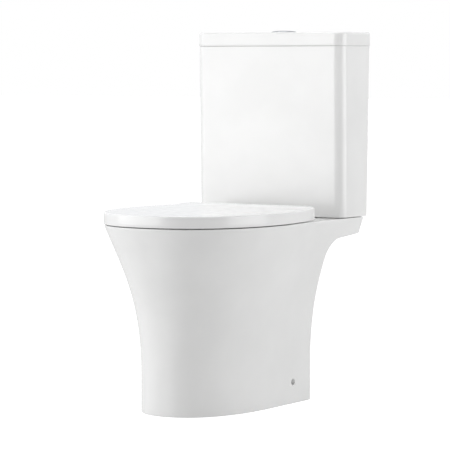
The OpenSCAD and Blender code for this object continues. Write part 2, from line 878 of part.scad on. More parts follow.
module inlet_float() {
    color("whitesmoke") difference() {
        at_fill(float_z) cylinder(h = float_h, r = 30);
        at_fill(float_z - over) cylinder(h = float_h + 2 * over, r = column_r + 0.7);
        at_fill(float_z - over) difference() {
            cylinder(h = float_h - 12, r = 28);
            cylinder(h = float_h - 12, r = column_r + 3);
        }
        translate([rod_x, valve_y, float_z + float_h - 9]) cylinder(h = 10, r = 2 + fit);
    }
}

module float_rod() {
    color("lightsteelblue") translate([rod_x, valve_y, float_z + float_h - 8.9])
        cylinder(h = pivot_z + 14 - float_z - float_h + 8.9, r = 2);
}

module rod_nuts() {
    color("goldenrod") for (z = [pivot_z - 9.5, pivot_z + 5.5])
        translate([rod_x, valve_y, z]) difference() {
            cylinder(h = 4, r = 4.5, $fn = 6);
            translate([0, 0, -over]) cylinder(h = 6, r = 2 + fit);
        }
}

pan();
pan_bowl();
pan_trap();
pan_outlet();
pan_inlet_duct();
cistern();
coupling_gasket();
cistern_pads();
cistern_bolts();
bolt_seals();
bolt_washers();
cistern_wing_nuts();
hinge_posts();
hinge_pins();
hinge_rosettes();
hinge_studs();
hinge_stud_washers();
hinge_wing_nuts();
seat_ring();
ring_buffers();
ring_damper();
ring_bush();
seat_lid();
lid_buffers();
lid_damper();
lid_bush();
cistern_lid();
button_bezel();
bezel_washer();
bezel_nut();
full_flush_button();
full_flush_rod();
full_flush_spring();
half_flush_button();
half_flush_rod();
half_flush_spring();
full_flush_plunger();
half_flush_plunger();
flush_valve_base();
flush_valve_tower();
flush_valve_washer();
flush_valve_backnut();
overflow_tube();
flush_seal();
seal_retainer();
valve_float();
fill_valve_body();
fill_valve_cap();
fill_valve_washer();
fill_valve_backnut();
pilot_pin();
lever_pin();
float_lever();
inlet_float();
float_rod();
rod_nuts();
inlet_filter();
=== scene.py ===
"""Close coupled toilet: its visible pieces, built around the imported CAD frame.

Lengths in the shape functions are millimetres in the CAD frame: the origin is on the floor, +Z is
up, the user faces -Y and the wall is on the +Y side. Meshes are scaled to metres when made.
"""
import json
import math

import bmesh
import bpy
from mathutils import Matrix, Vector


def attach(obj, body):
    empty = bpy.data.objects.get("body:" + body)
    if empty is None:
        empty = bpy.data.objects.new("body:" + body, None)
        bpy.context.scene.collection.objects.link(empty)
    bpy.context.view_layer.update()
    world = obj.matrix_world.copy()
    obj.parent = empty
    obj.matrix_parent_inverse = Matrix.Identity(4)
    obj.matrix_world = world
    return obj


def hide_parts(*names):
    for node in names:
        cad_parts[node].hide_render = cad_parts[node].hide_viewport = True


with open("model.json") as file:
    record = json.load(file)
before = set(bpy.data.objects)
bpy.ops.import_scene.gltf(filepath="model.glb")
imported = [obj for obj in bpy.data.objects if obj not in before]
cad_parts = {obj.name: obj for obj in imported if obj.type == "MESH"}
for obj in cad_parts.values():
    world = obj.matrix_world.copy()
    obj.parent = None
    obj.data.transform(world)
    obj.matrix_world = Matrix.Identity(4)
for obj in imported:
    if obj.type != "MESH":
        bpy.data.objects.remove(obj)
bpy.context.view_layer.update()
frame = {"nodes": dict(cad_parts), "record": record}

MM = 0.001
WELD = 0.00002          # metres: points closer than this become one
CREASE = 38             # degrees: sharper edges stay sharp in the shading
BEVEL_ANGLE = 40        # degrees: sharper edges get a bevel
PLAN_POWER = 2 / 2.3    # squareness of the pan's, the seat's and the bowl's ovals
QUARTER = math.pi / 2


# ------------------------------------------------------------------ mesh helpers

def mix(a, b, t):
    return a + (b - a) * t


def steps(count, first=0):
    """Shares from first / count to 1, in equal steps."""
    return [i / count for i in range(first, count + 1)]


def quarter(count, first=0):
    """Angles of a quarter turn, in equal steps."""
    return [t * QUARTER for t in steps(count, first)]


class Shape:
    """Points in millimetres and the faces between them, gathered patch by patch."""

    def __init__(self):
        self.points, self.faces = [], []

    def add(self, points):
        start = len(self.points)
        self.points += [tuple(p) for p in points]
        return list(range(start, len(self.points)))

    def poly(self, points):
        self.faces.append(self.add(points))

    def grid(self, rows, closed=False):
        """A skin through rows of equal length, joined round if closed."""
        ids = [self.add(row) for row in rows]
        for low, high in zip(ids, ids[1:]):
            n = len(low)
            for i in range(n if closed else n - 1):
                j = (i + 1) % n
                self.faces.append([low[i], low[j], high[j], high[i]])
        return self

    def rings(self, rows):
        """A closed solid through rings, with a flat polygon at each end."""
        self.grid(rows, closed=True)
        self.poly(rows[0])
        self.poly(rows[-1])
        return self

    def mirrored(self):
        """Adds the other half, across the YZ plane."""
        n = len(self.points)
        self.points += [(-x, y, z) for x, y, z in self.points]
        self.faces += [[n + i for i in reversed(f)] for f in self.faces]
        return self

    def object(self, name, crease=CREASE):
        mesh = bpy.data.meshes.new(name)
        mesh.from_pydata([Vector(p) * MM for p in self.points], [], self.faces)
        bm = bmesh.new()
        bm.from_mesh(mesh)
        bmesh.ops.remove_doubles(bm, verts=bm.verts, dist=WELD)
        bmesh.ops.recalc_face_normals(bm, faces=bm.faces)
        bm.to_mesh(mesh)
        bm.free()
        obj = bpy.data.objects.new(name, mesh)
        bpy.context.scene.collection.objects.link(obj)
        soften(obj, crease)
        return obj


def soften(obj, crease=CREASE):
    obj.data.shade_smooth()
    obj.data.set_sharp_from_angle(angle=math.radians(crease))


def apply_modifiers(obj):
    bpy.context.view_layer.update()
    deps = bpy.context.evaluated_depsgraph_get()
    mesh = bpy.data.meshes.new_from_object(obj.evaluated_get(deps))
    old = obj.data
    obj.modifiers.clear()
    obj.data = mesh
    mesh.name = obj.name
    bpy.data.meshes.remove(old)


def combine(obj, others, operation):
    """Boolean of obj with each of the others, which are used up."""
    for other in others:
        step = obj.modifiers.new("cut", "BOOLEAN")
        step.operation, step.object, step.solver = operation, other, "MANIFOLD"
    apply_modifiers(obj)
    for other in others:
        mesh = other.data
        bpy.data.objects.remove(other)
        bpy.data.meshes.remove(mesh)
    soften(obj)
    return obj


def bevel(obj, width, segments=3):
    step = obj.modifiers.new("edge", "BEVEL")
    step.width, step.segments = width * MM, segments
    step.limit_method, step.angle_limit = "ANGLE", math.radians(BEVEL_ANGLE)
    apply_modifiers(obj)
    soften(obj)


def lathe(name, profile, at=(0, 0), count=64, axis="z", crease=CREASE):
    """Turned solid from (radius, height) points; the axis runs through at."""
    shape = Shape()
    rows = []
    for r, h in profile:
        ring = []
        for i in range(count):
            a = math.tau * i / count
            u, v = r * math.cos(a), r * math.sin(a)
            if axis == "z":
                ring.append((at[0] + u, at[1] + v, h))
            elif axis == "x":
                ring.append((h, at[0] + u, at[1] + v))
            else:
                ring.append((at[0] + u, h, at[1] + v))
        rows.append(ring)
    shape.grid(rows, closed=True)
    return shape.object(name, crease)


def corner(r0, h0, r1, h1):
    """Quarter round between two profile points, bulging away from the axis."""
    return [(mix(r0, r1, 1 - math.cos(a)), mix(h0, h1, math.sin(a))) for a in quarter(3)]


def catmull(points, t):
    """Smooth curve through points, at t from 0 to their number less one."""
    k = min(int(t), len(points) - 2)
    f = t - k
    p0, p1 = points[max(k - 1, 0)], points[k]
    p2, p3 = points[k + 1], points[min(k + 2, len(points) - 1)]
    return [0.5 * (2 * b + (c - a) * f + (2 * a - 5 * b + 4 * c - d) * f * f
                   + (3 * b - a - 3 * c + d) * f ** 3) for a, b, c, d in zip(p0, p1, p2, p3)]


# ------------------------------------------------------------------ pan

RIM_Z, RIM_EDGE_Z, RIM_ROUND = 393, 391, 2
FLAT = 1.5              # width of the flat strip next to each rounding of the rim
DECK_UNDER = 372
SHELF_BACK, SHELF_ROUND = 285, 8
CHINA = 11              # thickness of the wall
OPEN_BACK = 155         # Y where the wall ends below the shelf
FILLET_Z, FILLET_R, FILLET_TURN = 309, 42, 80
UNDER_SLOPE = (359 - 350.4) / (310 - 189.7)
EDGE = 2.6              # radius of the wall's open edges
FOOT_TOP = 79           # the wall is straight below this height
# Bezier points of the flare: share of the way from the rim's plan to the foot's, and height
FLARE = [(0, 390), (0.484, 298), (1, 233), (1, FOOT_TOP)]
# Sections of the bowl: height, half width, front and back
BOWL = [(103, 31, -14, 56), (122, 38, -26, 60), (150, 44, -44, 60), (185, 54, -72, 59),
        (220, 71, -116, 57), (255, 93, -166, 55), (295, 117, -212, 53), (335, 136, -245, 51),
        (368, 147, -261, 50), (386, 149.5, -265, 50)]
BOWL_WALL = 9
LIP = 7


def flare_share(z):
    """Share of the way from the rim's plan to the foot's plan at height z."""
    low, high = 0.0, 1.0
    for _ in range(30):
        t = (low + high) / 2
        u = 1 - t
        height = (FLARE[0][1] * u ** 3 + 3 * FLARE[1][1] * u * u * t
                  + 3 * FLARE[2][1] * u * t * t + FLARE[3][1] * t ** 3)
        low, high = (t, high) if height > z else (low, t)
    t, u = low, 1 - low
    return 3 * FLARE[1][0] * u * u * t + 3 * FLARE[2][0] * u * t * t + FLARE[3][0] * t ** 3


class PanPlan:
    """Right half of the pan's plan at one height, offset inwards by inset."""

    def __init__(self, z, inset):
        s = flare_share(min(z, FLARE[0][1]))
        self.w = mix(190, FOOT_X, s) - inset
        self.front = mix(-308, -238, s) + inset
        self.widest = mix(-60, -10, s)
        self.back_w = mix(184, FOOT_X, s) - inset

    def nose(self, turn):
        x = self.w * math.sin(turn) ** PLAN_POWER if turn > 0 else 0
        c = max(math.cos(turn), 0)
        return x, mix(self.widest, self.front, c ** PLAN_POWER)

    def side(self, y):
        t = (y - self.widest) / (SHELF_BACK - self.widest)
        return mix(self.w, self.back_w, t * t), y


def under_shelf(y, turn=None):
    """Lowest height of the wall at a column past the open back."""
    if turn is not None:
        return FILLET_Z + (FILLET_R + EDGE) * math.sin(turn)
    start_y = OPEN_BACK + FILLET_R - (FILLET_R + EDGE) * math.cos(math.radians(FILLET_TURN))
    start_z = FILLET_Z + (FILLET_R + EDGE) * math.sin(math.radians(FILLET_TURN))
    return start_z + (y - start_y) * UNDER_SLOPE


FRONT_STEPS, SIDE_STEPS = 46, 26
FRONT_COLUMNS = FRONT_STEPS + 1 + SIDE_STEPS


def pan_columns(back, rounding):
    """Columns round the right half of the pan, from the front centre to the back centre.

    Each is (place(plan), lowest height, outward direction of its lower end)."""
    columns = []
    for t in steps(FRONT_STEPS):
        columns.append((lambda plan, a=t * QUARTER: plan.nose(a), None, (0, 0, -1)))
    for t in steps(SIDE_STEPS, 1):
        columns.append((lambda plan, t=t: plan.side(mix(plan.widest, OPEN_BACK - EDGE, t)),
                        None, (0, 1, 0)))
    for t in steps(10, 1):
        turn = math.radians(FILLET_TURN) * t
        y = OPEN_BACK + FILLET_R - (FILLET_R + EDGE) * math.cos(turn)
        columns.append((lambda plan, y=y: plan.side(y), under_shelf(y, turn),
                        (0, math.cos(turn), -math.sin(turn))))
    first = OPEN_BACK + FILLET_R - (FILLET_R + EDGE) * math.cos(math.radians(FILLET_TURN))
    down = (0, 0, -1)
    for t in steps(8, 1):
        y = mix(first, back - rounding, t)
        columns.append((lambda plan, y=y: plan.side(y), under_shelf(y), down))
    low = under_shelf(back - rounding)

    def around(plan, turn):
        cx = plan.side(back - rounding)[0] - rounding
        return cx + rounding * math.cos(turn), back - rounding + rounding * math.sin(turn)

    for t in steps(6, 1):
        columns.append((lambda plan, a=t * QUARTER: around(plan, a), low, down))
    for t in steps(14, 1):
        columns.append((lambda plan, t=t: (mix(around(plan, QUARTER)[0], 0, t), back),
                        low, down))
    return columns


def pan_wall(shape, inset, back, rounding, top):
    """One skin of the pan's wall. Returns its top row, and its lower boundary with directions."""
    columns = pan_columns(back, rounding)
    lower_z = [mix(EDGE, FOOT_TOP, t) for t in steps(8)]
    lower_z += [mix(FOOT_TOP, FILLET_Z, t) for t in steps(30, 1)]
    lower = []
    for z in lower_z:
        plan = PanPlan(z, inset)
        lower.append([(*c[0](plan), z) for c in columns[:FRONT_COLUMNS]])
    shape.grid(lower)
    upper = []
    for t in steps(26):
        row = []
        for place, low, _ in columns:
            z = mix(FILLET_Z if low is None else low, top, t)
            row.append((*place(PanPlan(z, inset)), z))
        upper.append(row)
    shape.grid(upper)
    boundary = [(p, (0, 0, -1)) for p in lower[0]]
    boundary[-1] = (boundary[-1][0], (0, 0.7071, -0.7071))
    boundary += [(row[-1], (0, 1, 0)) for row in lower[1:]]
    boundary += [(p, c[2]) for p, c in list(zip(upper[0], columns))[FRONT_COLUMNS:]]
    return upper[-1], boundary


def pan_edge(shape, outer, inner):
    """Rounded edge between the outer and the inner skin."""
    rows = []
    for (po, normal), (pi, _) in zip(outer, inner):
        po, pi, n = Vector(po), Vector(pi), Vector(normal)
        d = (pi - po).normalized()
        near = [po + d * EDGE * (1 - math.cos(a)) + n * EDGE * math.sin(a) for a in quarter(4)]
        far = [pi - d * EDGE * (1 - math.cos(a)) + n * EDGE * math.sin(a)
               for a in reversed(quarter(4))]
        rows.append(near + far)
    shape.grid(rows)


def pan_rim(shape):
    """Rounded edge of the rim, and the ring just inside it. Returns the inner row of points."""
    levels = [(RIM_ROUND * (1 - math.cos(a)), RIM_EDGE_Z + RIM_ROUND * math.sin(a))
              for a in quarter(7)]
    rows = []
    for inset, z in [*levels, (RIM_ROUND + FLAT, RIM_Z)]:
        columns = pan_columns(SHELF_BACK - inset, SHELF_ROUND - inset)
        plan = PanPlan(RIM_EDGE_Z, inset)
        rows.append([(*c[0](plan), z) for c in columns])
    shape.grid(rows)
    return rows[-1]


def half_oval(w, front, back, z):
    """Right half of a level section of the bowl, from front to back."""
    widest = mix(front, back, 0.62)
    row = []
    for t in steps(56):
        a = math.pi * (t - 0.5)
        s, c = math.sin(a), max(math.cos(a), 0)
        y = mix(widest, front, (-s) ** PLAN_POWER) if s < 0 else mix(widest, back, s ** PLAN_POWER)
        x = w * c ** PLAN_POWER if 0 < t < 1 else 0
        row.append((x, y, z))
    return row


def bowl_rows(offset, top):
    """Half sections of the bowl, grown outwards by offset, from its floor up to height top."""
    rows = []
    for t in steps(60):
        z, w, front, back = catmull(BOWL, t * (len(BOWL) - 1))
        if z > top:
            break
        rows.append(half_oval(w + offset, front - offset, back + offset, z - offset))
    z, w, front, back = BOWL[0]
    cy = (front + back) / 2
    floor = []
    for scale, drop in [(0.0, 6), (0.35, 5.8), (0.65, 5), (0.88, 2.6)]:
        floor.append([(x * scale, mix(cy, y, scale), z - offset - drop)
                      for x, y, _ in half_oval(w + offset, front - offset, back + offset, 0)])
    return floor + rows


def pan_shell():
    shape = Shape()
    _, outer_edge = pan_wall(shape, 0, SHELF_BACK, SHELF_ROUND, RIM_EDGE_Z)
    inner_top, inner_edge = pan_wall(shape, CHINA, SHELF_BACK - 12, 3, DECK_UNDER)
    pan_edge(shape, outer_edge, inner_edge)
    deck_edge = pan_rim(shape)
    inside = bowl_rows(0, BOWL[-1][0])
    z, w, front, back = BOWL[-1]
    for a in quarter(6, 1):
        o = LIP * (1 - math.cos(a))
        inside.append(half_oval(w + o, front - o, back + o, z + LIP * math.sin(a)))
    o = LIP + FLAT
    inside.append(half_oval(w + o, front - o, back + o, RIM_Z))
    shape.grid(inside)
    shape.poly(deck_edge + inside[-1][::-1])
    outside = bowl_rows(BOWL_WALL, DECK_UNDER + BOWL_WALL - 1)
    z, w, front, back = BOWL[8]
    outside.append(half_oval(w + BOWL_WALL, front - BOWL_WALL, back + BOWL_WALL, DECK_UNDER))
    shape.grid(outside)
    shape.poly(inner_top + outside[-1][::-1])
    return shape.mirrored().object("pan_china")


def drill(x, y, r, low, high, count=40):
    """Cutter for a hole along Z."""
    return lathe("cutter", [(0, low), (r, low), (r, high), (0, high)], at=(x, y), count=count)


def soft_drill(x, y, r, low, high, lip=2.0):
    """Cutter along Z that also rounds the hole's upper edge, at height high."""
    flare = [(r + lip * (1 - math.sin(a)), high - lip * math.cos(a)) for a in quarter(4)]
    top = r + lip
    return lathe("cutter", [(0, low), (r, low), *flare, (top, high + 2), (0, high + 2)],
                 at=(x, y), count=40)


def side_drill(side, y, z, r, face):
    """Cutter along X that rounds the hole's outer edge, at the wall's face."""
    lip = 1.6
    flare = [(r + lip * (1 - math.cos(a)), face - lip * (1 - math.sin(a))) for a in quarter(4)]
    profile = [(0, face - 30), (r, face - 30), *flare, (r + lip, face + 3), (0, face + 3)]
    return lathe("cutter", [(a, side * b) for a, b in profile], at=(y, z), count=48, axis="x")


def box_shape(name, w, low, high, r):
    """Box of half width w between (y, z) corners, its four edges along Z rounded."""
    ring = soft_ring(w, low[0], high[0], r, r, 6)
    return Shape().rings([[(x, y, z) for x, y in ring] for z in (low[1], high[1])]).object(name)


def soft_ring(w, front, back, front_r, back_r, count=8):
    """Rectangle round the centre line, with its own radius at front and back corners."""
    ring = []
    for sx, sy, r, start in ((1, -1, front_r, -90), (1, 1, back_r, 0), (-1, 1, back_r, 90),
                             (-1, -1, front_r, 180)):
        for t in steps(count):
            a = math.radians(start + 90 * t)
            y = front + r if sy < 0 else back - r
            ring.append((sx * (w - r) + r * math.cos(a), y + r * math.sin(a)))
    return ring


def notch_cutter(side):
    """Slot through the shelf behind a cistern fitting, open at the back."""
    ring = [(side * FILL_X + NOTCH_R * math.cos(math.radians(a)),
             FITTING_Y + NOTCH_R * math.sin(math.radians(a))) for a in range(180, 361, 9)]
    ring += [(side * FILL_X + NOTCH_R, SHELF_BACK + 30), (side * FILL_X - NOTCH_R, SHELF_BACK + 30)]
    return Shape().rings([[(x, y, z) for x, y in ring] for z in (300, 400)]).object("cutter")


TRAP_R, PIPE_WALL = 30, 8
SUMP_Z, RISE_Y, RISE_R, WEIR_R, WEIR_Z = 135, 95, 50, 45, 200
OUTLET_Z, TURN_Y, TURN_R, OUTLET_END = 180, 223.73, 35, 262
FITTING_Y, FILL_X, BOLT_X, NOTCH_R = 236, 128, 80, 23
HINGE_X, STUD_Y = 77.5, 93
FOOT_X, SIDE_HOLE_Y, SIDE_HOLE_Z = 124.5, 81, 46
WATER_AT = 3.86         # the water's level, counted along the bowl's sections


def trap_stations(start, end):
    """Centre line of the passage: (y, z, heading) from the sump over the weir to the outlet."""
    rad = math.radians
    out = [(start, SUMP_Z, 0)]
    out += [(RISE_Y - RISE_R + RISE_R * math.cos(rad(a)),
             SUMP_Z + RISE_R + RISE_R * math.sin(rad(a)), a + 90) for a in range(-90, 1, 6)]
    out += [(RISE_Y + WEIR_R + WEIR_R * math.cos(rad(a)),
             WEIR_Z + WEIR_R * math.sin(rad(a)), a - 90) for a in range(180, 29, -6)]
    out += [(TURN_Y + TURN_R * math.cos(rad(a)),
             OUTLET_Z + TURN_R + TURN_R * math.sin(rad(a)), a - 270) for a in range(210, 271, 6)]
    return out + [(end, OUTLET_Z, 0)]


def pipe(name, stations, radius):
    """Round bar along a path in the YZ plane."""
    sides = 40
    rows = []
    for y, z, heading in stations:
        h = math.radians(heading)
        rows.append([(radius * math.cos(b), y + radius * math.sin(b) * math.sin(h),
                      z - radius * math.sin(b) * math.cos(h))
                     for b in (math.tau * i / sides for i in range(sides))])
    return Shape().rings(rows).object(name)


def outlet_collar():
    r, y0, y1 = 51, TURN_Y - 12, OUTLET_END
    profile = [(0, y0), (44, y0), *corner(44, y0, 49.5, y0 + 6)[1:], (r, y0 + 12)]
    profile += [(r, y1 - 4), (r - 0.8, y1 - 1.5), (r - 3, y1), (0, y1)]
    return lathe("collar", profile, at=(0, OUTLET_Z), axis="y", count=72)


def pan_china():
    """The whole china casting: shell, bowl, trap, outlet and the flush water's duct."""
    pan = pan_shell()
    additions = [pipe("trap", trap_stations(30, TURN_Y + 6), TRAP_R + PIPE_WALL),
                 outlet_collar(),
                 box_shape("duct", 43, (48, 325), (275, 374), 9),
                 drill(0, FITTING_Y, 48, 352, 374, 64)]
    combine(pan, additions, "UNION")
    cutters = [pipe("bore", trap_stations(20, TURN_Y + 8), TRAP_R),
               lathe("cutter", [(0, TURN_Y + 3), (30, TURN_Y + 3), (42, TURN_Y + 9),
                                (42, OUTLET_END - 2), (44, OUTLET_END + 1), (0, OUTLET_END + 1)],
                     at=(0, OUTLET_Z), axis="y", count=64),
               box_shape("cutter", 34, (44, 333), (270, 360), 12),
               soft_drill(0, FITTING_Y, 42, 368, RIM_Z),
               drill(0, FITTING_Y, 31.5, 350, 372, 56)]
    for side in (-1, 1):
        cutters.append(soft_drill(side * BOLT_X, FITTING_Y, 8, 300, RIM_Z))
        cutters.append(soft_drill(side * HINGE_X, STUD_Y, 7, 300, RIM_Z, 1.2))
        cutters.append(notch_cutter(side))
        cutters.append(side_drill(side, SIDE_HOLE_Y, SIDE_HOLE_Z, 7, FOOT_X))
    return combine(pan, cutters, "DIFFERENCE")


def bowl_water():
    """Standing water at the height of the weir."""
    level = WEIR_Z + WEIR_R - TRAP_R
    _, w, front, back = catmull(BOWL, WATER_AT)
    rows = []
    for inset in (60, 30, 12, 5, 2, 0.4):
        z = level + 1.2 * math.exp(-inset / 1.5)
        rows.append(half_oval(w - inset * 0.9, front + inset, back - inset, z))
    shape = Shape().grid(rows)
    shape.poly(rows[0])
    return shape.mirrored().object("bowl_water")


# ------------------------------------------------------------------ cistern

CISTERN_Z, CISTERN_TOP, LID_TOP = 394.2, 766, 796
CISTERN_W, CISTERN_FRONT, WALL_Y = 187.5, 179, 310
REVEAL = 1              # the lid stands out this far past the cistern
SIDE_TAPER, FRONT_TAPER, BACK_TAPER = 1.1, 6, 9
TOP_R = 2               # radius of the cistern's upper edge
WALL_HOLE_X, WALL_HOLE_Z = 110, 706


def depth_share(z):
    """Share of the way from the cistern's top to its underside."""
    return (CISTERN_TOP - z) / (CISTERN_TOP - CISTERN_Z)


def cistern_ring(z, inset):
    t = depth_share(z)
    ring = soft_ring(CISTERN_W - REVEAL - inset - SIDE_TAPER * t,
                     CISTERN_FRONT + REVEAL + FRONT_TAPER * t + inset,
                     WALL_Y - REVEAL - BACK_TAPER * t - inset,
                     max(23 - inset, 3), max(10 - inset, 3))
    return [(x, y, z) for x, y in ring]


def cistern():
    base, wall, fillet = 2.2, 9, 10
    rows = []
    edge_z = CISTERN_TOP - TOP_R
    for a in quarter(5):
        rows.append(cistern_ring(CISTERN_Z + base * (1 - math.cos(a)), base * (1 - math.sin(a))))
    rows += [cistern_ring(mix(CISTERN_Z + base, edge_z, t), 0) for t in steps(12, 1)]
    for a in quarter(3, 1):
        rows.append(cistern_ring(edge_z + TOP_R * math.sin(a), TOP_R * (1 - math.cos(a))))
    for a in quarter(3):
        rows.append(cistern_ring(edge_z + TOP_R * math.cos(a), wall - TOP_R * (1 - math.sin(a))))
    floor_z = CISTERN_Z + 12
    rows += [cistern_ring(mix(edge_z - 2, floor_z + fillet, t), wall) for t in steps(8)]
    for a in quarter(5, 1):
        rows.append(cistern_ring(floor_z + fillet * (1 - math.sin(a)),
                                 wall + fillet * (1 - math.cos(a))))
    body = Shape().rings(rows).object("cistern_china")
    cutters = [drill(0, FITTING_Y, 31, 390, 415, 56), drill(FILL_X, FITTING_Y, 11, 390, 415)]
    face = WALL_Y - REVEAL - BACK_TAPER * depth_share(WALL_HOLE_Z)
    profile = [(0, face - 20), (5, face - 20), (5, face - 1), (10, face + 4), (0, face + 4)]
    for side in (-1, 1):
        cutters.append(drill(side * BOLT_X, FITTING_Y, 6, 390, 415))
        cutters.append(lathe("cutter", profile, at=(side * WALL_HOLE_X, WALL_HOLE_Z), axis="y",
                             count=36))
    return combine(body, cutters, "DIFFERENCE")


def lid_ring(z, inset):
    ring = soft_ring(CISTERN_W - inset, CISTERN_FRONT + inset, WALL_Y - inset,
                     max(24 - inset, 3), max(11 - inset, 3), 10)
    return [(x, y, z) for x, y in ring]


def cistern_lid():
    top_r, low_r, wall_in, lip_in, dome = 4.5, 0.7, 11.2, 17.2, 0.5
    rows = [lid_ring(787, lip_in + 6), lid_ring(786, lip_in + 1.5), lid_ring(783, lip_in),
            lid_ring(760, lip_in), lid_ring(758, lip_in - 1.5), lid_ring(758, wall_in + 1.5),
            lid_ring(760, wall_in), lid_ring(CISTERN_TOP, wall_in)]
    rows.append(lid_ring(CISTERN_TOP, low_r + 2))
    for a in quarter(3):
        rows.append(lid_ring(CISTERN_TOP + low_r * (1 - math.cos(a)), low_r * (1 - math.sin(a))))
    rows += [lid_ring(mix(CISTERN_TOP + low_r, LID_TOP - top_r, t), 0) for t in steps(3, 1)]
    for a in quarter(7, 1):
        rows.append(lid_ring(LID_TOP - dome - top_r + top_r * math.sin(a),
                             top_r * (1 - math.cos(a))))
    rows += [lid_ring(LID_TOP - dome + dome * math.sin(t * QUARTER), mix(top_r, 55, t))
             for t in (0.04, 0.3, 0.65, 1)]
    lid = Shape().rings(rows).object("cistern_lid_china")
    return combine(lid, [drill(0, BUTTON_Y, 25.4, 750, 810, 64)], "DIFFERENCE")


# ------------------------------------------------------------------ seat ring and lid

SEAT_FRONT, SEAT_WIDEST, SEAT_W, SEAT_BACK_W, LID_BACK = -310, -60, 191, 164, 104
LID_ROUND, LID_EDGE = 9.5, 3.2      # radii of the lid's back corners and of its upper edge
CROWN_Y, CROWN_HEIGHT = -95, 1.4    # centre and height of the lid's slight dome


class SeatPlan:
    """Right half of the seat's outline, offset inwards, with a rounded back corner."""

    def __init__(self, inset, back, rounding):
        self.inset, self.back, self.round = inset, back, rounding

    def side(self, y):
        t = (y - SEAT_WIDEST) / (LID_BACK - SEAT_WIDEST)
        return mix(SEAT_W, SEAT_BACK_W, t * t) - self.inset, y

    def points(self):
        out = []
        for t in steps(52):
            a = t * QUARTER
            x = (SEAT_W - self.inset) * math.sin(a) ** PLAN_POWER if t > 0 else 0
            c = max(math.cos(a), 0) ** PLAN_POWER
            out.append((x, mix(SEAT_WIDEST, SEAT_FRONT + self.inset, c)))
        end = self.back - self.round
        out += [self.side(mix(SEAT_WIDEST, end, t)) for t in steps(20, 1)]
        cx = out[-1][0] - self.round
        out += [(cx + self.round * math.cos(a), end + self.round * math.sin(a))
                for a in quarter(8, 1)]
        return out + [(mix(cx, 0, t), self.back) for t in steps(16, 1)]


def seat_row(inset, z, back, rounding):
    return [(x, y, z) for x, y in SeatPlan(inset, back - inset, max(rounding - inset, 1)).points()]


def ease(low, high, v):
    """Smooth step from 0 to 1 as v goes from low to high."""
    t = min(max((v - low) / (high - low), 0), 1)
    return t * t * (3 - 2 * t)


def hinge_rise(x, y):
    """Height of the ramp at the back of the lid; it starts later towards the sides."""
    edge = ease(140, 166, abs(x))
    return 4.0 * (1 - 0.35 * edge) * ease(42 + 30 * edge, 84 + 16 * edge, y)


def crown(points, height):
    """Lifts a flat row in proportion to how far it is from the rim, and over the hinges."""
    return [(x, y, z + height * max(0, 1 - (math.hypot(x, (y - CROWN_Y) * 0.88) / 185) ** 2)
             + hinge_rise(x, y)) for x, y, z in points]


def lid_row(f, z):
    """Row of the lid's top, at share f of the way in from its edge."""
    edge = SeatPlan(LID_EDGE, LID_BACK - LID_EDGE, 6).points()
    return crown([(x * (1 - f), mix(y, CROWN_Y, f), z) for x, y in edge], CROWN_HEIGHT)


def seat_lid():
    top, edge, low, skirt, under = 419.8, LID_EDGE, 394.9, 4, 415
    rows = [lid_row(f, top) for f in (1.0, 0.85, 0.7, 0.6, 0.5, 0.42, 0.35, 0.29, 0.24, 0.2,
                                      0.165, 0.13, 0.1, 0.07, 0.045, 0.025, 0.01)]
    for t in reversed(steps(7)):
        a = t * QUARTER
        row = seat_row(edge * (1 - math.cos(a)), top - edge + edge * math.sin(a), LID_BACK,
                       LID_ROUND)
        rows.append(crown(row, CROWN_HEIGHT * t))

    def lower(row, floor):
        """Sinks a row to the skirt's foot, except along the open back."""
        out = []
        for x, y, z in row:
            at_back = min(max((y - (LID_BACK - 2.2)) / 1.2, 0), 1) * (1 if x < 158 else 0)
            z = max(z, low + 1.6 * ease(LID_BACK - 8, LID_BACK, y))
            out.append((x, y, mix(z, max(z, floor), at_back)))
        return out

    for z, inset in ((409, 0), (402, 0), (low + 0.9, 0), (low + 0.3, 0.2), (low, 0.8)):
        rows.append(lower(seat_row(inset, z, LID_BACK, LID_ROUND), max(z, under - 0.6)))
    for z, inset in ((low, skirt - 0.8), (low + 0.3, skirt - 0.2), (low + 0.9, skirt), (404, skirt),
                     (410, skirt), (413.5, skirt + 0.6), (under, skirt + 2.5)):
        rows.append(lower(seat_row(inset, z, LID_BACK + skirt - 1.5, LID_ROUND),
                          max(z, under - 0.3)))
    shape = Shape().grid(rows)
    shape.poly(rows[-1])
    return shape.mirrored().object("seat_lid_moulding")


def polar_oval(theta, w, front, back, grow):
    """Point of the seat's opening in a direction, grown outwards."""
    widest = mix(front, back, 0.55)
    c, s = math.cos(theta), math.sin(theta)
    h = (widest - front if s < 0 else back - widest) + grow
    r = (abs(c / (w + grow)) ** 2.3 + abs(s / h) ** 2.3) ** (-1 / 2.3)
    return r * c, widest + r * s


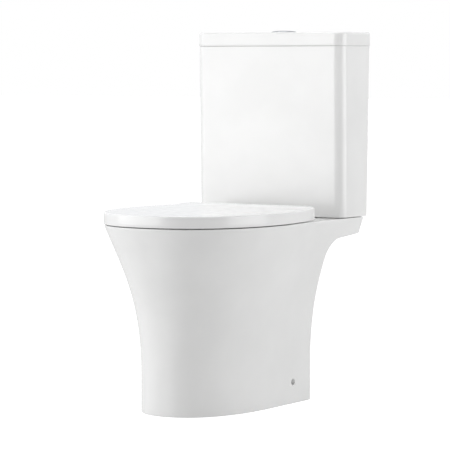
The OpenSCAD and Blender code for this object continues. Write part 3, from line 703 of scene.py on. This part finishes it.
def seat_ring():
    low, top, back, rounding = 398, 412, 82, 12
    outer_r, inner_r = 5, 7
    w, front, rear = 112, -238, 42
    widest = mix(front, rear, 0.55)
    outline = SeatPlan(6, back, rounding).points()

    def section(x, y):
        """Closed cross section from the outer edge over the top to the opening and back under."""
        theta = math.atan2(y - widest, x)
        ix, iy = polar_oval(theta, w, front, rear, 0)
        d = Vector((ix - x, iy - y))
        span, d = d.length, d.normalized()
        profile = [(1.2, low), (0.4, low + 0.5), (0, low + 1.6), (0, low + 8)]
        profile += [(outer_r * (1 - math.cos(a)), top - outer_r + outer_r * math.sin(a))
                    for a in quarter(5, 1)]
        profile += [(mix(outer_r, span - inner_r, t), top + math.sin(t * math.pi))
                    for t in (0.05, 0.2, 0.4, 0.6, 0.8, 0.95)]
        profile += [(span - inner_r * (1 - math.sin(a)), top - inner_r + inner_r * math.cos(a))
                    for a in quarter(6)]
        profile += [(span, low + 2), (span - 0.4, low + 0.5), (span - 1.4, low),
                    (span - 4, low), (span - 5.4, low + 1), (span - 6.5, low + 3.5),
                    (7, low + 3.5), (5.6, low + 1), (4.4, low)]
        return [(x + d.x * u, y + d.y * u, z) for u, z in profile]

    rows = [section(x, y) for x, y in outline]
    rows[0] = [(0, y, z) for _, y, z in rows[0]]
    rows[-1] = [(0, y, z) for _, y, z in rows[-1]]
    return Shape().grid(rows, closed=True).mirrored().object("seat_ring_moulding", 50)


# ------------------------------------------------------------------ seat hinges

AXIS_Y, AXIS_Z, KNUCKLE_R = 97, 404.5, 8.4
RING_LUG_X, LID_LUG_X = 100, 55


def plate_across(name, outline, x, half, edge, bore):
    """Outline in the YZ plane, given a thickness along X, with a bore on the hinge axis."""
    x0, x1 = x - half, x + half
    plate = Shape().rings([[(x, y, z) for y, z in outline] for x in (x0, x1)]).object(name)
    bevel(plate, edge)
    cutter = lathe("cutter", [(0, x0 - 2), (bore, x0 - 2), (bore, x1 + 2), (0, x1 + 2)],
                   at=(AXIS_Y, AXIS_Z), axis="x", count=48)
    return combine(plate, [cutter], "DIFFERENCE")


def knuckle(start, end):
    """Arc round the hinge axis, in the YZ plane, between two angles in degrees."""
    return [(AXIS_Y + KNUCKLE_R * math.cos(math.radians(mix(start, end, t))),
             AXIS_Z + KNUCKLE_R * math.sin(math.radians(mix(start, end, t)))) for t in steps(24)]


def hinge_post(side):
    outline = [(85, 395), (105, 395)] + knuckle(-12, 180)
    outline.append((86.2, 402))
    return plate_across("hinge_post", outline, side * HINGE_X, 12, 1.2, 3.55)


def ring_lug(side):
    outline = knuckle(-95, 100) + [(88, 411.5), (79, 411), (79, 399)]
    return plate_across("ring_lug", outline, side * RING_LUG_X, 8, 0.9, 6.1)


def lid_lug(side):
    outline = knuckle(-190, 10) + [(102.5, 416), (89, 416)]
    return plate_across("lid_lug", outline, side * LID_LUG_X, 8, 0.9, 6.1)


def join(name, parts, crease=CREASE):
    """One object from several that lie apart."""
    bm = bmesh.new()
    for part in parts:
        bm.from_mesh(part.data)
        mesh = part.data
        bpy.data.objects.remove(part)
        bpy.data.meshes.remove(mesh)
    mesh = bpy.data.meshes.new(name)
    bm.to_mesh(mesh)
    bm.free()
    obj = bpy.data.objects.new(name, mesh)
    bpy.context.scene.collection.objects.link(obj)
    soften(obj, crease)
    return obj


def rounded_disc(name, r, low, high, at, edge, bore=0.0):
    """Disc or washer, chamfered below and rounded above."""
    outer = [(r, low + edge), *corner(r, high - edge, r - edge, high)]
    profile = [(bore, low), (r - edge, low), *outer, (bore, high)]
    if bore:
        profile.append((bore, low))
    return lathe(name, profile, at=at, count=56)


def buffer_pad(x, y, low, high):
    profile = [(0, low), (3.2, low), (5, low + 0.35 * (high - low)), (6, high - 0.4), (6, high),
               (0, high)]
    return lathe("buffer", profile, at=(x, y), count=32)


# ------------------------------------------------------------------ flush buttons

BUTTON_Y, BUTTON_R, BUTTON_TOP, SPLIT_X, DOME_R = 250, 23, 800, 4, 190


def button_bezel():
    top = LID_TOP
    profile = [(25, 770.4), (24.6, 770), (24, 770), (23.4, 770.6), (23.4, top + 1.6),
               (23.7, top + 2.2), (24.3, top + 2.4), (25.2, top + 2.2), (26.8, top + 1.5),
               (27.7, top + 0.9), (28, top + 0.3), (28, top - 0.4), (25, top - 0.4)]
    bezel = lathe("bezel", profile + profile[:1], at=(0, BUTTON_Y), count=96, crease=50)
    tray = rounded_disc("tray", 23.9, 770, 773, (0, BUTTON_Y), 0.3)
    combine(tray, [drill(x, BUTTON_Y, 3.4, 765, 780, 24) for x in (-10, 13)], "DIFFERENCE")
    return join("button_bezel_ring", [bezel, tray], 50)


def push_button(name, side):
    """Domed push piece with rounded edges, on its own side of the dividing line."""
    low, gap, r = 790, 0.35, BUTTON_R - 0.2

    def dome(x, y):
        return BUTTON_TOP - DOME_R + math.sqrt(DOME_R ** 2 - x * x - y * y)

    chord_x = SPLIT_X + side * gap
    angle = math.acos(side * chord_x / r)
    middle, count = (0, 40) if side > 0 else (math.pi, 56)
    rim = [middle + mix(-angle, angle, t) for t in steps(count)]
    arc_points = [(r * math.cos(a), r * math.sin(a)) for a in rim]
    last, first = arc_points[-1], arc_points[0]
    chord = [(chord_x, mix(last[1], first[1], t)) for t in steps(14, 1)][:-1]
    outline = arc_points + chord
    cx = sum(p[0] for p in outline) / len(outline)
    rows = [[(x, BUTTON_Y + y, low) for x, y in outline]]
    for inset, drop in ((0, 1.0), (0.15, 0.55), (0.45, 0.2), (0.9, 0.04)):
        row = []
        for x, y in outline:
            k = 1 - inset / max(math.hypot(x - cx, y), 1)
            px, py = cx + (x - cx) * k, y * k
            row.append((px, BUTTON_Y + py, dome(px, py) - drop))
        rows.append(row)
    for k in (0.85, 0.65, 0.45, 0.25, 0.1):
        rows.append([(cx + (x - cx) * k, BUTTON_Y + y * k, dome(cx + (x - cx) * k, y * k))
                     for x, y in outline])
    return Shape().rings(rows).object(name, 45)


def threaded(name, at, r, low, high):
    """Rod with a helical thread cut into it."""
    pitch, depth, per_turn = 1.25, 0.45, 20
    rows = []
    total = int((high - low) / pitch * 4)
    for k in range(total + 1):
        z = mix(low, high, k / total)
        end = min(1, (z - low) / pitch, (high - z) / pitch)
        ring = []
        for i in range(per_turn):
            a = math.tau * i / per_turn
            wave = 0.5 + 0.5 * math.cos(math.tau * (z / pitch) - a)
            q = r - depth * (1 - wave) - 0.4 * depth * (1 - end)
            ring.append((at[0] + q * math.cos(a), at[1] + q * math.sin(a), z))
        rows.append(ring)
    return Shape().rings(rows).object(name, 60)


def wing_nut(name, at, bore, body_r, low, height, reach):
    """Turned boss with two rounded wings."""
    boss = lathe(name, [(bore, low), (body_r, low), (body_r, low + height * 0.55),
                        (body_r * 0.78, low + height), (bore, low + height), (bore, low)],
                 at=at, count=40)
    parts = [boss]
    for side in (-1, 1):
        rows = []
        for t in steps(8):
            u = mix(body_r - 1.6, body_r + reach, t)
            half = 1.6 * (1 - 0.35 * t)
            tall = height * (0.5 + 0.5 * math.sin(math.pi * (0.18 + 0.72 * t)))
            base = low + height * 0.12 * t
            ring = [(at[0] + side * u, at[1] + half * math.cos(b),
                     base + tall / 2 + (tall / 2) * math.sin(b))
                    for b in (math.tau * i / 16 for i in range(16))]
            rows.append(ring)
        parts.append(Shape().rings(rows).object("wing", 60))
    return join(name, parts)


def hex_head(name, at, r, low, high):
    ring = [(at[0] + r * math.cos(math.radians(a)), at[1] + r * math.sin(math.radians(a)))
            for a in range(0, 360, 60)]
    piece = Shape().rings([[(x, y, z) for x, y in ring] for z in (low, high)]).object(name)
    bevel(piece, 0.7, 2)
    return piece


# ------------------------------------------------------------------ materials

class Nodes:
    """A new node material and short ways to add nodes to it."""

    def __init__(self, name, **fixed):
        self.material = bpy.data.materials.new(name)
        self.material.use_nodes = True
        self.tree = self.material.node_tree
        self.shader = self.tree.nodes["Principled BSDF"]
        for socket, value in fixed.items():
            self.shader.inputs[socket.replace("_", " ")].default_value = value
        self.place = self.add("ShaderNodeTexCoord").outputs["Object"]

    def add(self, kind, **values):
        node = self.tree.nodes.new(kind)
        for key, value in values.items():
            if hasattr(node, key):
                setattr(node, key, value)
            else:
                node.inputs[key].default_value = value
        return node

    def link(self, source, target):
        self.tree.links.new(source, target)

    def noise(self, scale, detail, stretch=None):
        """Noise over the object's own coordinates, which may be stretched."""
        node = self.add("ShaderNodeTexNoise", Scale=scale, Detail=detail, Roughness=0.5)
        if stretch:
            turn = self.add("ShaderNodeMapping")
            turn.inputs["Scale"].default_value = stretch
            self.link(self.place, turn.inputs["Vector"])
            self.link(turn.outputs["Vector"], node.inputs["Vector"])
        else:
            self.link(self.place, node.inputs["Vector"])
        return node.outputs["Fac"]

    def colour(self, source, dark, light):
        node = self.add("ShaderNodeValToRGB")
        for stop, at, shade in zip(node.color_ramp.elements, (0.35, 0.65), (dark, light)):
            stop.position, stop.color = at, (*shade, 1)
        self.link(source, node.inputs["Fac"])
        self.link(node.outputs["Color"], self.shader.inputs["Base Color"])

    def roughness(self, source, low, high):
        node = self.add("ShaderNodeMapRange")
        node.inputs["From Min"].default_value, node.inputs["From Max"].default_value = 0.3, 0.7
        node.inputs["To Min"].default_value, node.inputs["To Max"].default_value = low, high
        self.link(source, node.inputs["Value"])
        self.link(node.outputs["Result"], self.shader.inputs["Roughness"])

    def bump(self, source, strength, distance):
        node = self.add("ShaderNodeBump", Strength=strength, Distance=distance)
        self.link(source, node.inputs["Height"])
        self.link(node.outputs["Normal"], self.shader.inputs["Normal"])


def china_material():
    """Glazed china: a faint cloudiness in the body and the slow ripple of fired glaze."""
    m = Nodes("glazed_china", Coat_Weight=0.34, Coat_Roughness=0.19, IOR=1.52)
    m.colour(m.noise(9, 4), (0.80, 0.80, 0.795), (0.83, 0.83, 0.825))
    m.roughness(m.noise(30, 3), 0.2, 0.26)
    m.bump(m.noise(30, 2), 0.015, 0.0003)
    return m.material


def seat_material():
    """Moulded thermoset of seat and lid, glossy and a little whiter than the china."""
    m = Nodes("seat_moulding", Coat_Weight=0.3, Coat_Roughness=0.12, IOR=1.5)
    m.colour(m.noise(14, 3), (0.81, 0.81, 0.808), (0.83, 0.83, 0.828))
    m.roughness(m.noise(60, 3), 0.2, 0.27)
    m.bump(m.noise(700, 2), 0.004, 0.00003)
    return m.material


def plastic_material(name, dark, light, low, high):
    m = Nodes(name, IOR=1.47)
    m.colour(m.noise(40, 4), dark, light)
    m.roughness(m.noise(120, 3), low, high)
    m.bump(m.noise(900, 2), 0.06, 0.0001)
    return m.material


def metal_material(name, dark, light, low, high, stretch=None, grain=0.0):
    m = Nodes(name, Metallic=1.0)
    m.colour(m.noise(60, 4), dark, light)
    m.roughness(m.noise(90, 4, stretch=stretch), low, high)
    if grain:
        m.bump(m.noise(260, 3, stretch=stretch), grain, 0.0001)
    return m.material


def rubber_material(name, dark, light, low, high):
    m = Nodes(name, IOR=1.5)
    m.colour(m.noise(180, 5), dark, light)
    m.roughness(m.noise(150, 3), low, high)
    m.bump(m.noise(1400, 3), 0.12, 0.0001)
    return m.material


def mesh_filter_material():
    """Woven wire of the inlet filter."""
    m = Nodes("filter_wire", Metallic=1.0)
    wave = m.add("ShaderNodeTexWave", Scale=260.0, Distortion=0.0)
    m.link(m.place, wave.inputs["Vector"])
    m.colour(wave.outputs["Fac"], (0.2, 0.2, 0.2), (0.62, 0.62, 0.62))
    m.roughness(m.noise(200, 2), 0.3, 0.45)
    m.bump(wave.outputs["Fac"], 0.5, 0.0003)
    return m.material


def water_material():
    m = Nodes("water", Transmission_Weight=1.0, IOR=1.33)
    m.colour(m.noise(12, 2), (0.93, 0.97, 0.98), (0.97, 0.99, 1.0))
    m.roughness(m.noise(20, 2), 0.0, 0.03)
    m.bump(m.noise(25, 2), 0.1, 0.0008)
    return m.material


LOOKS = {
    "glazed_china": china_material(),
    "seat_plastic": seat_material(),
    "white_plastic": plastic_material("white_plastic", (0.70, 0.70, 0.68), (0.76, 0.76, 0.74),
                                      0.38, 0.52),
    "blue_plastic": plastic_material("blue_plastic", (0.035, 0.12, 0.33), (0.05, 0.16, 0.40),
                                     0.34, 0.48),
    "dark_plastic": plastic_material("dark_plastic", (0.02, 0.02, 0.022), (0.035, 0.035, 0.038),
                                     0.4, 0.55),
    "chrome": metal_material("chrome", (0.42, 0.43, 0.44), (0.50, 0.51, 0.52), 0.05, 0.1),
    "steel": metal_material("steel", (0.52, 0.52, 0.52), (0.60, 0.60, 0.60), 0.24, 0.38,
                            (1, 1, 14), 0.12),
    "brass": metal_material("brass", (0.60, 0.42, 0.17), (0.72, 0.52, 0.24), 0.22, 0.36,
                            (1, 1, 8), 0.08),
    "rubber": rubber_material("rubber", (0.018, 0.018, 0.018), (0.032, 0.032, 0.032), 0.6, 0.78),
    "clear_rubber": rubber_material("clear_rubber", (0.60, 0.60, 0.585), (0.68, 0.68, 0.665),
                                    0.42, 0.55),
    "red_seal": rubber_material("red_seal", (0.33, 0.03, 0.018), (0.42, 0.05, 0.03), 0.4, 0.55),
}


# ------------------------------------------------------------------ putting the pieces in place

def place(piece, name, body, nodes, slot):
    """Names a piece, hangs it on its body and gives it its finish."""
    piece.name = piece.data.name = name
    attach(piece, body)
    if nodes:
        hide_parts(*nodes)
    piece.data.materials.clear()
    piece.data.materials.append(LOOKS[slot])
    return piece


def china_pieces():
    place(pan_china(), "pan_china", "pan_and_cistern",
          ["pan", "pan_bowl", "pan_trap", "pan_outlet", "pan_inlet_duct"], "glazed_china")
    place(cistern(), "cistern_china", "pan_and_cistern", ["cistern"], "glazed_china")
    place(cistern_lid(), "cistern_lid_china", "cistern_lid", ["cistern_lid"], "glazed_china")
    water = place(bowl_water(), "bowl_water", "pan_and_cistern", [], "glazed_china")
    water.data.materials.clear()
    water.data.materials.append(water_material())


def seat_pieces():
    ring = join("ring", [seat_ring(), ring_lug(-1), ring_lug(1)], 50)
    place(ring, "seat_ring_moulding", "seat_ring", ["seat_ring"], "seat_plastic")
    lid = join("lid", [seat_lid(), lid_lug(-1), lid_lug(1)], 50)
    place(lid, "seat_lid_moulding", "seat_lid", ["seat_lid"], "seat_plastic")
    pads = [buffer_pad(side * x, y, 393.2, 398.2) for side in (-1, 1)
            for x, y in ((168, -40), (105, -249))]
    place(join("pads", pads), "ring_buffer_pads", "seat_ring", ["ring_buffers"], "clear_rubber")
    pads = [buffer_pad(side * x, y, 413.2, 416) for side in (-1, 1)
            for x, y in ((148, -60), (95, -245))]
    place(join("pads", pads), "lid_buffer_pads", "seat_lid", ["lid_buffers"], "clear_rubber")


def hinge_pieces():
    posts = [hinge_post(side) for side in (-1, 1)]
    place(join("posts", posts), "hinge_post_pair", "pan_and_cistern", ["hinge_posts"], "chrome")
    plates = [rounded_disc("plate", 15, 393, 395, (side * HINGE_X, STUD_Y), 1.1, 4.1)
              for side in (-1, 1)]
    place(join("plates", plates), "hinge_rosette_pair", "pan_and_cistern", ["hinge_rosettes"],
          "chrome")
    studs = [threaded("stud", (side * HINGE_X, STUD_Y), 4, 340, 399.9) for side in (-1, 1)]
    place(join("studs", studs, 60), "hinge_stud_pair", "pan_and_cistern", ["hinge_studs"], "steel")
    nuts = [wing_nut("nut", (side * HINGE_X, STUD_Y), 4.05, 9, 357.8, 11, 8) for side in (-1, 1)]
    place(join("nuts", nuts), "hinge_wing_nut_pair", "pan_and_cistern", ["hinge_wing_nuts"],
          "white_plastic")


def cistern_fixings():
    bolts = []
    for side in (-1, 1):
        at = (side * BOLT_X, FITTING_Y)
        bolts.append(threaded("bolt", at, 4, 342, 412.7))
        bolts.append(hex_head("head", at, 7.5, 412.3, 417.8))
    place(join("bolts", bolts), "cistern_bolt_pair", "pan_and_cistern", ["cistern_bolts"], "brass")
    nuts = [wing_nut("nut", (side * BOLT_X, FITTING_Y), 4.05, 7.5, 360.8, 9, 8) for side in (-1, 1)]
    place(join("nuts", nuts), "cistern_wing_nut_pair", "pan_and_cistern", ["cistern_wing_nuts"],
          "brass")
    seals = [rounded_disc("seal", 12, 406.2, 412.2, (side * BOLT_X, FITTING_Y), 1.2, 4.1)
             for side in (-1, 1)]
    place(join("seals", seals), "bolt_seal_pair", "pan_and_cistern", ["bolt_seals"], "rubber")


def button_pieces():
    place(button_bezel(), "button_bezel_ring", "cistern_lid", ["button_bezel"], "chrome")
    place(push_button("full", -1), "full_button_cap", "full_button", ["full_flush_button"],
          "chrome")
    place(push_button("half", 1), "half_button_cap", "half_button", ["half_flush_button"],
          "chrome")


def carried_over():
    """CAD nodes that keep their own mesh get the finish of their slot."""
    for part in frame["record"]["subparts"]:
        node = frame["nodes"][part["node"]]
        node.data.materials.clear()
        node.data.materials.append(LOOKS[part["material_slot"]])
        soften(node, 32)
    filter_mesh = frame["nodes"]["inlet_filter"].data
    filter_mesh.materials.clear()
    filter_mesh.materials.append(mesh_filter_material())


# ------------------------------------------------------------------ studio

def flat_panel(name, half, at, material):
    mesh = bpy.data.meshes.new(name)
    mesh.from_pydata([(-half, -half, 0), (half, -half, 0), (half, half, 0), (-half, half, 0)], [],
                     [(0, 1, 2, 3)])
    obj = bpy.data.objects.new(name, mesh)
    obj.location = at
    obj.data.materials.append(material)
    bpy.context.scene.collection.objects.link(obj)
    return obj


def studio_floor():
    m = Nodes("floor")
    m.shader.inputs["Emission Color"].default_value = (1, 1, 1, 1)
    level = m.add("ShaderNodeMapRange")
    level.inputs["To Min"].default_value, level.inputs["To Max"].default_value = 0.48, 0.97
    m.link(m.add("ShaderNodeLightPath").outputs["Is Camera Ray"], level.inputs["Value"])
    m.link(level.outputs["Result"], m.shader.inputs["Emission Strength"])
    m.colour(m.noise(1.5, 2), (0.20, 0.20, 0.20), (0.22, 0.22, 0.22))
    m.roughness(m.noise(3, 2), 0.8, 0.9)
    flat_panel("studio_floor", 40, (0, 0, -0.0005), m.material)


def area_light(name, at, target, size, power):
    data = bpy.data.lights.new(name, "AREA")
    data.shape, data.size, data.size_y = "RECTANGLE", size[0], size[1]
    data.energy = power
    obj = bpy.data.objects.new(name, data)
    obj.location = at
    obj.rotation_euler = (Vector(target) - Vector(at)).to_track_quat("-Z", "Y").to_euler()
    bpy.context.scene.collection.objects.link(obj)


def studio_world():
    world = bpy.data.worlds.new("studio")
    world.use_nodes = True
    tree = world.node_tree
    tree.nodes.clear()
    out = tree.nodes.new("ShaderNodeOutputWorld")
    seen, lit = tree.nodes.new("ShaderNodeBackground"), tree.nodes.new("ShaderNodeBackground")
    seen.inputs["Color"].default_value = (1, 1, 1, 1)
    seen.inputs["Strength"].default_value = 1.0
    lit.inputs["Color"].default_value = (0.97, 0.98, 1, 1)
    facing = tree.nodes.new("ShaderNodeVectorMath")
    facing.operation = "DOT_PRODUCT"
    facing.inputs[1].default_value = (-0.7, 0.7, 0)
    tree.links.new(tree.nodes.new("ShaderNodeTexCoord").outputs["Generated"], facing.inputs[0])
    level = tree.nodes.new("ShaderNodeMapRange")
    level.interpolation_type = "SMOOTHSTEP"
    level.inputs["From Min"].default_value, level.inputs["From Max"].default_value = -0.2, 0.6
    level.inputs["To Min"].default_value, level.inputs["To Max"].default_value = 0.05, 0.9
    tree.links.new(facing.outputs["Value"], level.inputs["Value"])
    tree.links.new(level.outputs["Result"], lit.inputs["Strength"])
    path = tree.nodes.new("ShaderNodeLightPath")
    blend = tree.nodes.new("ShaderNodeMixShader")
    tree.links.new(path.outputs["Is Camera Ray"], blend.inputs["Fac"])
    tree.links.new(lit.outputs["Background"], blend.inputs[1])
    tree.links.new(seen.outputs["Background"], blend.inputs[2])
    tree.links.new(blend.outputs["Shader"], out.inputs["Surface"])
    bpy.context.scene.world = world


def studio_lights():
    area_light("key", (-2.4, -2.95, 1.1), (0, 0, 0.5), (4.4, 3.4), 135)
    area_light("side", (2.95, 0.75, 1.2), (0, 0, 0.45), (2.6, 3.0), 62)
    area_light("fill", (2.9, -2.6, 2.0), (0, 0, 0.4), (1.6, 1.6), 5)
    area_light("top", (0, -0.2, 3.0), (0, 0, 0.5), (2.4, 2.4), 38)


def studio_camera():
    data = bpy.data.cameras.new("camera")
    data.sensor_width, data.lens = 36, 199.63
    data.clip_start, data.clip_end = 0.1, 100
    camera = bpy.data.objects.new("camera", data)
    camera.location = (2.8181, -4.5039, 0.7290)
    aim = Vector((0.0011, 0.0025, 0.3836)) - camera.location
    camera.rotation_euler = aim.to_track_quat("-Z", "Y").to_euler()
    bpy.context.scene.collection.objects.link(camera)
    bpy.context.scene.camera = camera


bpy.context.scene.view_settings.view_transform = "Standard"
studio_camera()
studio_world()
studio_lights()
studio_floor()
carried_over()
china_pieces()
seat_pieces()
hinge_pieces()
cistern_fixings()
button_pieces()
